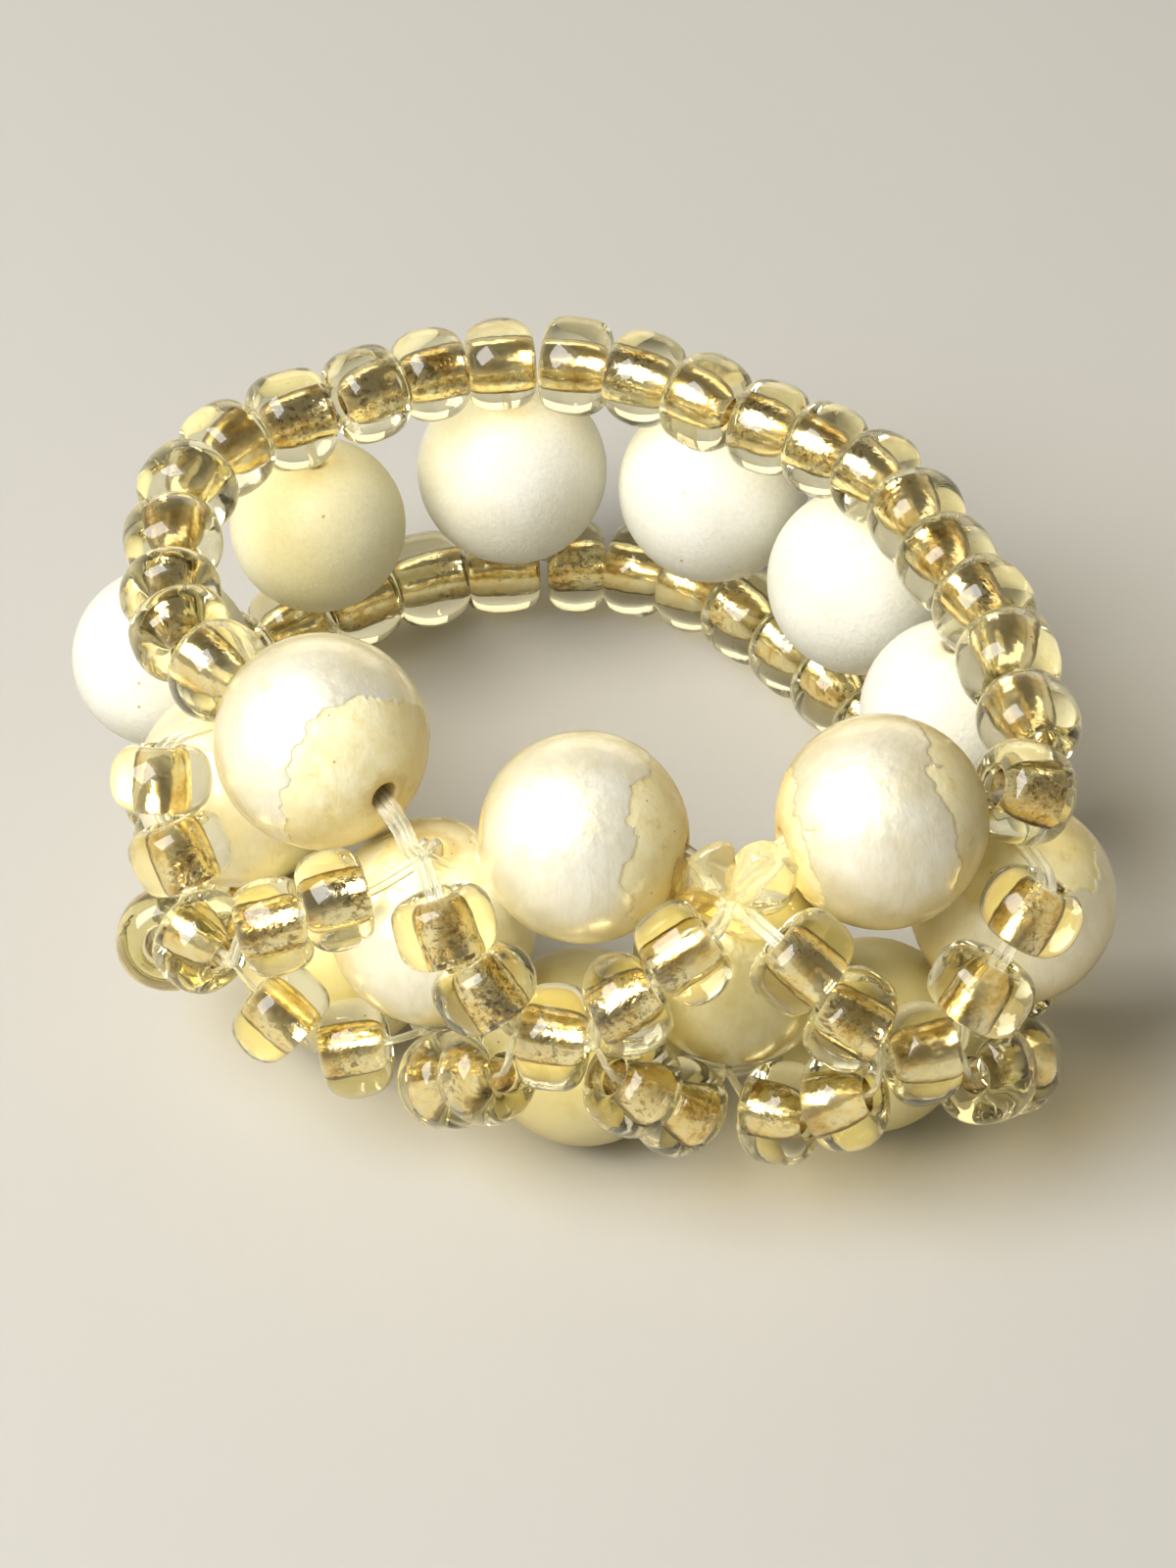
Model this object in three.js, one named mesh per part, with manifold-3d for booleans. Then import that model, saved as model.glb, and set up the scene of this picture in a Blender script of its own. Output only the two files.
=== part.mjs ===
// Beaded stretch ring: imitation pearls and glass seed beads woven on clear elastic thread.
// Millimetres, +Z up. The ring lies on its side, so a finger passes through it along Z.
// The woven plaque faces -Y and the plain band runs round the back.
//
// The weave is a ladder. Ten pearls stand round the ring with their bores along its axis.
// In the band, short strings of seed beads join their tops and their feet.
// In the plaque, a pearl lies above and below each gap, and a net of nine seed beads lies outside.
import * as THREE from "three";
import { mergeVertices } from "three/addons/utils/BufferGeometryUtils.js";
import Module from "manifold-3d";

const wasm = await Module();
wasm.setup();

// Pearls
const PEARL_SIDES = 16;
const PEARL_BANDS = 7;
const BORE_RADIUS = 0.55;
const PEARL_GAP = 0.08;

// Seed beads
const BEAD_RADIUS = 1.55;
const BEAD_LENGTH = 2.25;
const NET_BEAD_LENGTH = 2.0;
const BEAD_SIDES = 8;
const BEAD_JOINT = 0.12;
const NECK_RADIUS = 0.42;
// Each edge string stops this far short of the tie at either end.
const TIE_GAP = 0.2;

// Thread
const THREAD_RADIUS = 0.24;
const THREAD_SIDES = 8;
const THREAD_STEPS = 28;
const THREAD_CLEARANCE = 0.32;
// The plaque's upper thread ties in this far in front of the upright pearls' middles.
const TIE_FORWARD = 1.0;
// A plaque pearl holds its thread straight between the inner pair of these places,
// and the thread leaves its bore at the outer pair. All are shares of the pearl's half size.
const THREAD_HOLDS = [-1.12, -0.9, 0.9, 1.12];

// The edge strings run this far above and below the ring's middle plane.
const EDGE_HEIGHT = 4.72;
// The plaque is taller than the band, so the ring leans back on the surface by this angle.
const LEAN = THREE.MathUtils.degToRad(3.3);

// Outline of a seed bead: stations along its length, and radii, both as shares of its size.
const BEAD_FORM = [
  { along: -0.5, radius: 0.72 },
  { along: -0.27, radius: 1.0 },
  { along: 0.27, radius: 1.0 },
  { along: 0.5, radius: 0.72 },
];

// Upright pearls in plan, and where the edge strings tie in above and below each one,
// as offsets from the pearl's centre.
const LADDER = [
  { name: "side_left", x: -10.0, y: -6.2, size: 6.2, topX: -1.3, topY: 0.5, footX: 0.1, footY: 0.3 },
  { name: "back_1", x: -13.8, y: -1.2, size: 5.6, topX: 0.9, topY: -1.1, footX: 0.3, footY: 0.0 },
  { name: "back_2", x: -10.7, y: 5.9, size: 5.6, topX: 0.6, topY: 0.3, footX: -0.2, footY: 0.8 },
  { name: "back_3", x: -5.3, y: 9.9, size: 6.1, topX: 0.9, topY: -0.1, footX: 0.8, footY: 0.8 },
  { name: "back_4", x: 1.2, y: 10.5, size: 6.1, topX: 1.1, topY: -1.9, footX: 0.4, footY: 0.0 },
  { name: "back_5", x: 6.7, y: 7.2, size: 6.0, topX: 1.3, topY: -1.0, footX: 0.3, footY: -0.8 },
  { name: "back_6", x: 10.6, y: 1.9, size: 5.8, topX: 1.5, topY: -1.1, footX: 0.5, footY: -0.5 },
  { name: "side_right", x: 13.8, y: -5.8, size: 6.2, topX: 0.4, topY: 1.6, footX: 0.2, footY: 0.4 },
  { name: "front_right", x: 6.3, y: -10.1, size: 6.1 },
  { name: "front_left", x: -2.8, y: -10.5, size: 6.2 },
];

// Strings of seed beads along the band's edges. Bulge is how far the string bows outward.
// Where the band meets the plaque, the upper edge's last bead turns to face a plaque pearl,
// so it is a piece of its own and the string beside it has one bead fewer above than below.
const EDGE_STRINGS = [
  { from: "side_left", to: "back_1", topBeads: 2, footBeads: 3, topBulge: 0.4, footBulge: 1.2 },
  { from: "back_1", to: "back_2", topBeads: 4, footBeads: 4, topBulge: 2.0, footBulge: 1.5 },
  { from: "back_2", to: "back_3", topBeads: 3, footBeads: 3, topBulge: 0.6, footBulge: 0.7 },
  { from: "back_3", to: "back_4", topBeads: 3, footBeads: 3, topBulge: 0.65, footBulge: 0.7 },
  { from: "back_4", to: "back_5", topBeads: 3, footBeads: 3, topBulge: 0.35, footBulge: 0.2 },
  { from: "back_5", to: "back_6", topBeads: 3, footBeads: 3, topBulge: -0.2, footBulge: 0.2 },
  { from: "back_6", to: "side_right", topBeads: 2, footBeads: 3, topBulge: -0.3, footBulge: 0.3 },
];

// The plaque's three units, each between two upright pearls.
const UNITS = [
  { name: "left", from: "side_left", to: "front_left", topSize: 6.4, footSize: 5.9, topOut: 0.3 },
  { name: "middle", from: "front_left", to: "front_right", topSize: 6.2, footSize: 6.0, topOut: 0.0 },
  { name: "right", from: "front_right", to: "side_right", topSize: 6.3, footSize: 5.9, topOut: 0.1 },
];

// Net beads of each unit, from its centre: along the unit, outward and up.
const NET = {
  left: [
    { bead: "centre", along: -0.4, out: 5.0, up: -0.4 },
    { bead: "upper_left_outer", along: -3.35, out: 3.7, up: 3.4 },
    { bead: "upper_left_inner", along: -2.25, out: 4.1, up: 1.4 },
    { bead: "upper_right_outer", along: 3.7, out: 3.45, up: 3.05 },
    { bead: "upper_right_inner", along: 1.8, out: 4.2, up: 1.2 },
    { bead: "lower_left_outer", along: -3.6, out: 3.3, up: -3.3 },
    { bead: "lower_left_inner", along: -2.55, out: 4.6, up: -2.15 },
    { bead: "lower_right_outer", along: 3.7, out: 2.9, up: -3.6 },
    { bead: "lower_right_inner", along: 2.0, out: 4.3, up: -2.3 },
  ],
  middle: [
    { bead: "centre", along: -0.2, out: 3.6, up: -0.4 },
    { bead: "upper_left_outer", along: -3.5, out: 3.2, up: 3.2 },
    { bead: "upper_left_inner", along: -2.2, out: 3.8, up: 1.5 },
    { bead: "upper_right_outer", along: 3.5, out: 3.1, up: 3.25 },
    { bead: "upper_right_inner", along: 1.9, out: 3.5, up: 1.3 },
    { bead: "lower_left_outer", along: -3.5, out: 3.0, up: -3.5 },
    { bead: "lower_left_inner", along: -2.2, out: 3.8, up: -2.2 },
    { bead: "lower_right_outer", along: 3.4, out: 3.1, up: -3.2 },
    { bead: "lower_right_inner", along: 2.15, out: 3.8, up: -1.8 },
  ],
  right: [
    { bead: "centre", along: 0.0, out: 4.2, up: -1.0 },
    { bead: "upper_left_outer", along: -3.5, out: 3.4, up: 3.1 },
    { bead: "upper_left_inner", along: -2.2, out: 4.1, up: 1.0 },
    { bead: "upper_right_outer", along: 3.5, out: 3.4, up: 3.1 },
    { bead: "upper_right_inner", along: 1.85, out: 4.0, up: 0.95 },
    { bead: "lower_left_outer", along: -3.8, out: 3.0, up: -3.6 },
    { bead: "lower_left_inner", along: -2.2, out: 3.9, up: -2.6 },
    { bead: "lower_right_outer", along: 3.4, out: 3.2, up: -3.5 },
    { bead: "lower_right_inner", along: 2.1, out: 4.1, up: -2.55 },
  ],
};

// Dried glue on the knot between the plaque's middle and right upper pearls,
// as offsets and half sizes from the thread over the pearl named front_right.
const GLUE = [
  { x: -0.55, y: -0.05, z: 0.15, halfX: 0.7, halfY: 0.65, halfZ: 0.6 },
  { x: 0.8, y: 0.1, z: 0.1, halfX: 0.8, halfY: 0.7, halfZ: 0.6 },
  { x: 0.5, y: -0.5, z: -0.15, halfX: 0.6, halfY: 0.4, halfZ: 0.4 },
];

const finish = {
  matte: { color: 0xf1ece0, roughness: 0.5, metalness: 0 },
  coated: { color: 0xf3ead6, roughness: 0.3, metalness: 0 },
  plain: { color: 0xe2d39c, roughness: 0.4, metalness: 0 },
  glass: { color: 0xd9c98f, roughness: 0.08, metalness: 0.2 },
  thread: { color: 0xe8e4d2, roughness: 0.2, metalness: 0 },
};

const materials = {};
for (const [name, look] of Object.entries(finish)) {
  materials[name] = new THREE.MeshStandardMaterial({ name, ...look });
}

const UP = new THREE.Vector3(0, 0, 1);
const ring = new THREE.Group();
// Everything that leans back with the ring. Only the plaque's lower pearls stay level.
const leaning = new THREE.Group();
leaning.rotation.x = -LEAN;
ring.add(leaning);

const lean = (point) => point.clone().applyAxisAngle(new THREE.Vector3(1, 0, 0), -LEAN);

// Joins vertices at one place, so that each geometry is one closed surface.
function weld(geometry) {
  geometry.deleteAttribute("normal");
  geometry.deleteAttribute("uv");
  const welded = mergeVertices(geometry, 1e-5);
  welded.computeVertexNormals();
  return welded;
}

function addPiece(group, name, geometry, material) {
  const mesh = new THREE.Mesh(geometry, material);
  mesh.name = name;
  group.add(mesh);
  return mesh;
}

// A drilled pearl whose bore runs along its own Y axis.
function pearlGeometry(size) {
  const radius = size / 2;
  const mouth = Math.asin(BORE_RADIUS / radius);
  const profile = [];
  for (let band = 0; band <= PEARL_BANDS; band += 1) {
    const turn = mouth + (band / PEARL_BANDS) * (Math.PI - 2 * mouth);
    profile.push(new THREE.Vector2(radius * Math.sin(turn), -radius * Math.cos(turn)));
  }
  profile.push(profile[0].clone());
  return weld(new THREE.LatheGeometry(profile, PEARL_SIDES, Math.PI / PEARL_SIDES));
}

// From a pearl's centre to the flat of its widest band.
function flatHeight(size) {
  const radius = size / 2;
  const bandAngle = (Math.PI - 2 * Math.asin(BORE_RADIUS / radius)) / PEARL_BANDS;
  return radius * Math.cos(bandAngle / 2) * Math.cos(Math.PI / PEARL_SIDES);
}

// The bore runs along the given direction. A pearl bored level turns a flat straight down.
function addPearl(group, name, centre, bore, size, material) {
  const mesh = addPiece(group, name, pearlGeometry(size), material);
  const across = Math.abs(bore.z) > 0.5 ? new THREE.Vector3(0, 1, 0) : UP;
  const side = new THREE.Vector3().crossVectors(bore, across).normalize();
  const face = new THREE.Vector3().crossVectors(side, bore);
  mesh.quaternion.setFromRotationMatrix(new THREE.Matrix4().makeBasis(side, bore, face));
  mesh.position.copy(centre);
}

// Shortens beads so that the ends of neighbours stay apart, also where the string bends.
function fitLengths(beads, wanted) {
  const endRadius = BEAD_FORM[0].radius * BEAD_RADIUS;
  const room = (bead, other) => {
    if (!other) return wanted;
    const pinch = 2 * endRadius * Math.tan(bead.along.angleTo(other.along) / 2);
    return bead.at.distanceTo(other.at) - BEAD_JOINT - pinch;
  };
  beads.forEach((bead, index) => {
    bead.length = Math.min(wanted, room(bead, beads[index - 1]), room(bead, beads[index + 1]));
  });
  return beads;
}

// Seed beads threaded one after another into a single body.
// Each bead gives its middle, the direction of its hole and its length.
function stringGeometry(beads, upward) {
  const rings = [];
  const onAxis = (bead, share) => bead.at.clone().addScaledVector(bead.along, share * bead.length);
  beads.forEach((bead, index) => {
    for (const station of BEAD_FORM) {
      const centre = onAxis(bead, station.along);
      rings.push({ centre, along: bead.along, radius: station.radius * BEAD_RADIUS });
    }
    const next = beads[index + 1];
    if (!next) return;
    const centre = onAxis(bead, 0.5).add(onAxis(next, -0.5)).multiplyScalar(0.5);
    const along = bead.along.clone().add(next.along).normalize();
    rings.push({ centre, along, radius: NECK_RADIUS });
  });
  const stations = [{ ...rings[0], radius: 0 }, ...rings, { ...rings[rings.length - 1], radius: 0 }];

  const profile = stations.map((station, index) => new THREE.Vector2(station.radius, index));
  const geometry = new THREE.LatheGeometry(profile, BEAD_SIDES, Math.PI / BEAD_SIDES);
  const corner = geometry.attributes.position;
  for (let i = 0; i < corner.count; i += 1) {
    const station = stations[Math.round(corner.getY(i))];
    const side = new THREE.Vector3().crossVectors(station.along, upward).normalize();
    const face = new THREE.Vector3().crossVectors(side, station.along);
    const place = station.centre.clone();
    place.addScaledVector(side, corner.getX(i)).addScaledVector(face, corner.getZ(i));
    corner.setXYZ(i, place.x, place.y, place.z);
  }
  return weld(geometry);
}

const rowNamed = (name) => LADDER.find((row) => row.name === name);
const inPlan = (row, dx = 0, dy = 0, z = 0) => new THREE.Vector3(row.x + dx, row.y + dy, z);

function addLadder() {
  for (const row of LADDER) {
    const material = row.name.startsWith("back") ? materials.matte : materials.coated;
    addPearl(leaning, `pearl_${row.name}`, inPlan(row), UP, row.size, material);
    const post = new THREE.CylinderGeometry(THREAD_RADIUS, THREAD_RADIUS, row.size, THREAD_SIDES);
    post.rotateX(Math.PI / 2);
    const thread = addPiece(leaning, `thread_post_${row.name}`, weld(post), materials.thread);
    thread.position.copy(inPlan(row));
  }
}

// Beads spread evenly along a bowed path from one tie to the next.
function edgeBeads(start, end, count, bulge) {
  const chord = end.clone().sub(start);
  const outward = new THREE.Vector3().crossVectors(chord, UP).normalize();
  if (outward.dot(start.clone().add(end)) < 0) outward.negate();
  const trim = TIE_GAP / chord.length();
  const pathAt = (share) => {
    const place = trim + share * (1 - 2 * trim);
    const bow = 4 * place * (1 - place) * bulge;
    return start.clone().addScaledVector(chord, place).addScaledVector(outward, bow);
  };
  const beads = [];
  for (let i = 0; i < count; i += 1) {
    const from = pathAt(i / count);
    const to = pathAt((i + 1) / count);
    const at = from.clone().add(to).multiplyScalar(0.5);
    beads.push({ at, along: to.sub(from).normalize() });
  }
  return beads;
}

// A plaque unit's own directions, along it and outward, and places measured from its middle.
function unitFrame(unit) {
  const from = inPlan(rowNamed(unit.from));
  const to = inPlan(rowNamed(unit.to));
  const along = to.clone().sub(from).normalize();
  const out = new THREE.Vector3().crossVectors(along, UP);
  const middle = from.add(to).multiplyScalar(0.5);
  const place = (a, o, u) =>
    middle.clone().addScaledVector(along, a).addScaledVector(out, o).addScaledVector(UP, u);
  return { along, out, place };
}

// Height of a pearl laid over the gap between two upright ones, touching the larger of them.
function nestHeight(unit, size) {
  const from = rowNamed(unit.from);
  const to = rowNamed(unit.to);
  const half = inPlan(from).distanceTo(inPlan(to)) / 2;
  const reach = (Math.max(from.size, to.size) + size) / 2 + PEARL_GAP;
  return Math.sqrt(reach * reach - half * half);
}

const topCentre = (unit) => unitFrame(unit).place(0, unit.topOut, nestHeight(unit, unit.topSize));

// The upper edge's last bead before the plaque lines up with the bore of the plaque's end pearl.
function addTurnBead(unit, way) {
  const { along } = unitFrame(unit);
  const reach = (unit.topSize + BEAD_LENGTH) / 2 + PEARL_GAP;
  const bead = { at: topCentre(unit).addScaledVector(along, way * reach), along, length: BEAD_LENGTH };
  addPiece(leaning, `edge_turn_${unit.name}`, stringGeometry([bead], UP), materials.glass);
}

function addEdges() {
  EDGE_STRINGS.forEach((row, index) => {
    const from = rowNamed(row.from);
    const to = rowNamed(row.to);
    const top = edgeBeads(
      inPlan(from, from.topX, from.topY, EDGE_HEIGHT),
      inPlan(to, to.topX, to.topY, EDGE_HEIGHT),
      row.topBeads,
      row.topBulge,
    );
    const foot = edgeBeads(
      inPlan(from, from.footX, from.footY, -EDGE_HEIGHT),
      inPlan(to, to.footX, to.footY, -EDGE_HEIGHT),
      row.footBeads,
      row.footBulge,
    );
    for (const [edge, beads] of Object.entries({ top, foot })) {
      const geometry = stringGeometry(fitLengths(beads, BEAD_LENGTH), UP);
      addPiece(leaning, `edge_${edge}_${index + 1}`, geometry, materials.glass);
    }
  });
  const [first, , last] = UNITS;
  addTurnBead(first, -1);
  addTurnBead(last, 1);
}

// Pearls above and below each gap of the plaque. The lower ones rest on the surface at this height.
function addPlaquePearls(surface) {
  return UNITS.map((unit) => {
    const { along, place } = unitFrame(unit);
    const top = topCentre(unit);
    addPearl(leaning, `pearl_top_${unit.name}`, top, along, unit.topSize, materials.coated);
    const foot = lean(place(0, 0, -nestHeight(unit, unit.footSize)));
    foot.z = surface + flatHeight(unit.footSize);
    const level = lean(along).setZ(0).normalize();
    addPearl(ring, `pearl_foot_${unit.name}`, foot, level, unit.footSize, materials.plain);
    return { unit, along, level, top, foot };
  });
}

// Nine beads over the outside of a unit: a level one in the middle and four arms of two.
function addNet(unit) {
  const { along, out, place } = unitFrame(unit);
  const at = {};
  for (const row of NET[unit.name]) at[row.bead] = place(row.along, row.out, row.up);
  const length = NET_BEAD_LENGTH;
  const centre = { at: at.centre, along, length };
  addPiece(leaning, `net_${unit.name}_centre`, stringGeometry([centre], UP), materials.glass);

  for (const arm of ["upper_left", "upper_right", "lower_left", "lower_right"]) {
    const outer = at[`${arm}_outer`];
    const inner = at[`${arm}_inner`];
    const inward = inner.clone().sub(outer).normalize();
    const beads = fitLengths([outer, inner].map((bead) => ({ at: bead, along: inward })), length);
    addPiece(leaning, `net_${unit.name}_${arm}`, stringGeometry(beads, out), materials.glass);
  }
}

// One thread through three pearls, dipping to the tie over each upright pearl between them.
// It is straight in every bore and ends inside the outer two.
function plaqueThread(centres, directions, sizes, ties) {
  const points = [];
  centres.forEach((centre, index) => {
    for (const share of THREAD_HOLDS) {
      const reach = (share * sizes[index]) / 2;
      points.push(centre.clone().addScaledVector(directions[index], reach));
    }
    if (ties[index]) points.push(ties[index]);
  });
  points.shift();
  points.pop();
  const route = new THREE.CatmullRomCurve3(points, false, "centripetal");
  const section = new THREE.Shape();
  section.absarc(0, 0, THREAD_RADIUS, 0, 2 * Math.PI, false);
  return new THREE.ExtrudeGeometry(section, {
    steps: THREAD_STEPS,
    curveSegments: THREAD_SIDES / 2,
    bevelEnabled: false,
    extrudePath: route,
  });
}

// Solids for joining, which need only welded positions.
function toSolid(geometry) {
  const welded = weld(geometry);
  const vertProperties = new Float32Array(welded.attributes.position.array);
  const triVerts = new Uint32Array(welded.index.array);
  return new wasm.Manifold(new wasm.Mesh({ numProp: 3, vertProperties, triVerts }));
}

// An egg-shaped drop of glue beside the knot.
function gluePiece(knot, drop) {
  const lump = new THREE.IcosahedronGeometry(1, 1);
  lump.scale(drop.halfX, drop.halfY, drop.halfZ);
  lump.translate(knot.x + drop.x, knot.y + drop.y, knot.z + drop.z);
  return toSolid(lump);
}

function fromSolid(solid) {
  const mesh = solid.getMesh();
  const geometry = new THREE.BufferGeometry();
  geometry.setAttribute("position", new THREE.BufferAttribute(mesh.vertProperties, 3));
  geometry.setIndex(new THREE.BufferAttribute(mesh.triVerts, 1));
  geometry.computeVertexNormals();
  return geometry;
}

// The plaque's upper thread, with the glued knot where it ties in over front_right.
function addTopThread(pearls) {
  const tieOver = (name) => {
    const row = rowNamed(name);
    return inPlan(row, 0, -TIE_FORWARD, row.size / 2 + THREAD_CLEARANCE + THREAD_RADIUS);
  };
  const knot = tieOver("front_right");
  const route = plaqueThread(
    pearls.map((pearl) => pearl.top),
    pearls.map((pearl) => pearl.along),
    pearls.map((pearl) => pearl.unit.topSize),
    [tieOver("front_left"), knot],
  );
  const glued = GLUE.reduce((solid, drop) => solid.add(gluePiece(knot, drop)), toSolid(route));
  addPiece(leaning, "thread_plaque_top", fromSolid(glued), materials.thread);
}

// The plaque's lower thread runs straight from bore to bore under the upright pearls.
function addFootThread(pearls) {
  const route = plaqueThread(
    pearls.map((pearl) => pearl.foot),
    pearls.map((pearl) => pearl.level),
    pearls.map((pearl) => pearl.unit.footSize),
    [],
  );
  addPiece(ring, "thread_plaque_foot", weld(route), materials.thread);
}

addLadder();
addEdges();
UNITS.forEach(addNet);
ring.updateMatrixWorld(true);
const surface = new THREE.Box3().setFromObject(leaning, true).min.z;
const plaquePearls = addPlaquePearls(surface);
addTopThread(plaquePearls);
addFootThread(plaquePearls);

// The origin is under the middle of the ring, on the surface it lies on.
const extent = new THREE.Box3().setFromObject(ring, true);
const middle = extent.getCenter(new THREE.Vector3());
const part = new THREE.Group();
part.name = "beaded_stretch_ring";
ring.position.set(-middle.x, -middle.y, -extent.min.z);
part.add(ring);

export default part;
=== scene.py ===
"""Looks of the beaded stretch ring: imitation pearls and lined glass seed beads on clear thread.

Lengths in the tables are millimetres in the ring's own frame, as in the part's source, with +Z
along the finger hollow. The row frame is reached by leaning that frame back and moving it.
"""

import math
import random

import bmesh
import bpy
import numpy as np
from mathutils import Matrix, Vector, noise


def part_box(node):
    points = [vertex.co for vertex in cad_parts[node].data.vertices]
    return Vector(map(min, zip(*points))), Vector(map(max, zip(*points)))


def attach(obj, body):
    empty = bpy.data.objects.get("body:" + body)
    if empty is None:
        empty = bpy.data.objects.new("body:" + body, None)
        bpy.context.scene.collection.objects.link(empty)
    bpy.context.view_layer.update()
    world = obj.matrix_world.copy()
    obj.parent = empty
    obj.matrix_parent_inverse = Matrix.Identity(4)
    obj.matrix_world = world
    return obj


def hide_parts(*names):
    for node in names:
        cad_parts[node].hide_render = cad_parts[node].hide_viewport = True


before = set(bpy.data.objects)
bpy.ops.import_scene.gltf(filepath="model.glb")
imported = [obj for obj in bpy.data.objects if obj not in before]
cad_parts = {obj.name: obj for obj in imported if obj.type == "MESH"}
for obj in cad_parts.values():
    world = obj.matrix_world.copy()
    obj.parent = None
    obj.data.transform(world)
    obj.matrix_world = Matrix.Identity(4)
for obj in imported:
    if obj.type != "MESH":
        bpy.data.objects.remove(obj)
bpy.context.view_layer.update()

MM = 0.001
UP = Vector((0, 0, 1))

# ---------------------------------------------------------------- driving sizes

# The ring lies on its side, and its finger hollow leans back by this much.
LEAN = math.radians(3.3)
# The edge strings run this far above and below the middles of the upright pearls.
EDGE_HEIGHT = 4.72
PEARL_GAP = 0.08
BEAD_RADIUS = 1.55
BEAD_LENGTH = 2.25
NET_BEAD_LENGTH = 2.0
# An edge string's beads may be this much longer than usual where there is room.
EDGE_BEAD_SLACK = 0.25
# Each edge string stops this far short of the tie at either end.
TIE_GAP = 0.06

# Upright pearls: plan position, size, and the ties of the edge strings above and below.
LADDER = {
    "side_left": {"x": -10.0, "y": -6.2, "size": 6.2, "top": (-1.3, 0.5), "foot": (0.1, 0.3)},
    "back_1": {"x": -13.8, "y": -1.2, "size": 5.6, "top": (0.9, -1.1), "foot": (0.3, 0.0)},
    "back_2": {"x": -10.7, "y": 5.9, "size": 5.6, "top": (0.6, 0.3), "foot": (-0.2, 0.8)},
    "back_3": {"x": -5.3, "y": 9.9, "size": 6.1, "top": (0.9, -0.1), "foot": (0.8, 0.8)},
    "back_4": {"x": 1.2, "y": 10.5, "size": 6.1, "top": (1.1, -1.9), "foot": (0.4, 0.0)},
    "back_5": {"x": 6.7, "y": 7.2, "size": 6.0, "top": (1.3, -1.0), "foot": (0.3, -0.8)},
    "back_6": {"x": 10.6, "y": 1.9, "size": 5.8, "top": (1.5, -1.1), "foot": (0.5, -0.5)},
    "side_right": {"x": 13.8, "y": -5.8, "size": 6.2, "top": (0.4, 1.6), "foot": (0.2, 0.4)},
    "front_right": {"x": 6.3, "y": -10.1, "size": 6.1},
    "front_left": {"x": -2.8, "y": -10.5, "size": 6.2},
}

# Strings of seed beads along the band's edges: how many beads, and how far each bows outward.
EDGE_STRINGS = [
    {"from": "side_left", "to": "back_1", "top": (2, 0.4), "foot": (3, 1.2)},
    {"from": "back_1", "to": "back_2", "top": (4, 2.0), "foot": (4, 1.5)},
    {"from": "back_2", "to": "back_3", "top": (3, 0.6), "foot": (3, 0.7)},
    {"from": "back_3", "to": "back_4", "top": (3, 0.65), "foot": (3, 0.7)},
    {"from": "back_4", "to": "back_5", "top": (3, 0.35), "foot": (3, 0.2)},
    {"from": "back_5", "to": "back_6", "top": (3, -0.2), "foot": (3, 0.2)},
    {"from": "back_6", "to": "side_right", "top": (2, -0.3), "foot": (3, 0.3)},
]

# The plaque's three gaps: the upright pearls beside each, the sizes of the pearls above and below
# it, how far out the upper one sits, and how far its bore is aimed outward.
# A bore that is aimed outward also lifts, by AIM_LIFT of its aim.
UNITS = {
    "left": {"from": "side_left", "to": "front_left",
             "top": 6.4, "foot": 5.9, "out": 0.3, "aim": 0.14},
    "middle": {"from": "front_left", "to": "front_right",
               "top": 6.2, "foot": 6.0, "out": 0.0, "aim": 0.0},
    "right": {"from": "front_right", "to": "side_right",
              "top": 6.3, "foot": 5.9, "out": 0.1, "aim": 0.0},
}
AIM_LIFT = 0.3

# The upper edge's last beads, which face the plaque: their unit, which end of it, and their dip.
TURN_BEADS = [
    {"unit": "left", "way": -1, "dip": 0.0},
    {"unit": "right", "way": 1, "dip": 0.5},
]

# Net beads of each unit, from its middle: along the unit, outward and up.
NET = {
    "left": {
        "centre": (-0.4, 5.0, -0.4),
        "upper_left": ((-3.35, 3.7, 3.4), (-2.25, 4.1, 1.4)),
        "upper_right": ((3.7, 3.45, 3.05), (1.8, 4.2, 1.2)),
        "lower_left": ((-3.6, 3.3, -3.3), (-2.55, 4.6, -2.15)),
        "lower_right": ((3.7, 2.9, -3.6), (2.0, 4.3, -2.3)),
    },
    "middle": {
        "centre": (-0.2, 3.6, -0.4),
        "upper_left": ((-3.5, 3.2, 3.2), (-2.2, 3.8, 1.5)),
        "upper_right": ((3.5, 3.1, 3.25), (1.9, 3.5, 1.3)),
        "lower_left": ((-3.5, 3.0, -3.5), (-2.2, 3.8, -2.2)),
        "lower_right": ((3.4, 3.1, -3.2), (2.15, 3.8, -1.8)),
    },
    "right": {
        "centre": (0.0, 4.2, -1.0),
        "upper_left": ((-3.5, 3.4, 3.1), (-2.2, 4.1, 1.0)),
        "upper_right": ((3.5, 3.4, 3.1), (1.85, 4.0, 0.95)),
        "lower_left": ((-3.8, 3.0, -3.6), (-2.2, 3.9, -2.6)),
        "lower_right": ((3.4, 3.2, -3.5), (2.1, 4.1, -2.55)),
    },
}

# Net beads that have turned on their thread, away from the line of their pair: the way inward.
AIMS = {
    ("left", "upper_left"): {"outer": (0.41, 0.47, -0.78), "inner": (0.63, 0.11, -0.77)},
    ("left", "upper_right"): {"outer": (-0.52, 0.83, -0.11), "inner": (-0.60, 0.75, -0.25)},
    ("left", "lower_right"): {"outer": (-0.67, 0.71, -0.19), "inner": (-0.80, 0.20, 0.50)},
    ("middle", "upper_left"): {"outer": (0.38, 0.40, -0.83)},
    ("middle", "upper_right"): {"outer": (-0.75, 0.45, -0.48), "inner": (-0.81, 0.39, -0.43)},
    ("right", "upper_left"): {"outer": (0.61, 0.56, -0.55), "inner": (0.75, 0.51, -0.43)},
    ("right", "lower_left"): {"outer": (0.70, 0.68, 0.22)},
}

# ---------------------------------------------------------------- ring frame to row frame

LEANING = Matrix.Rotation(-LEAN, 3, "X")


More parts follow.
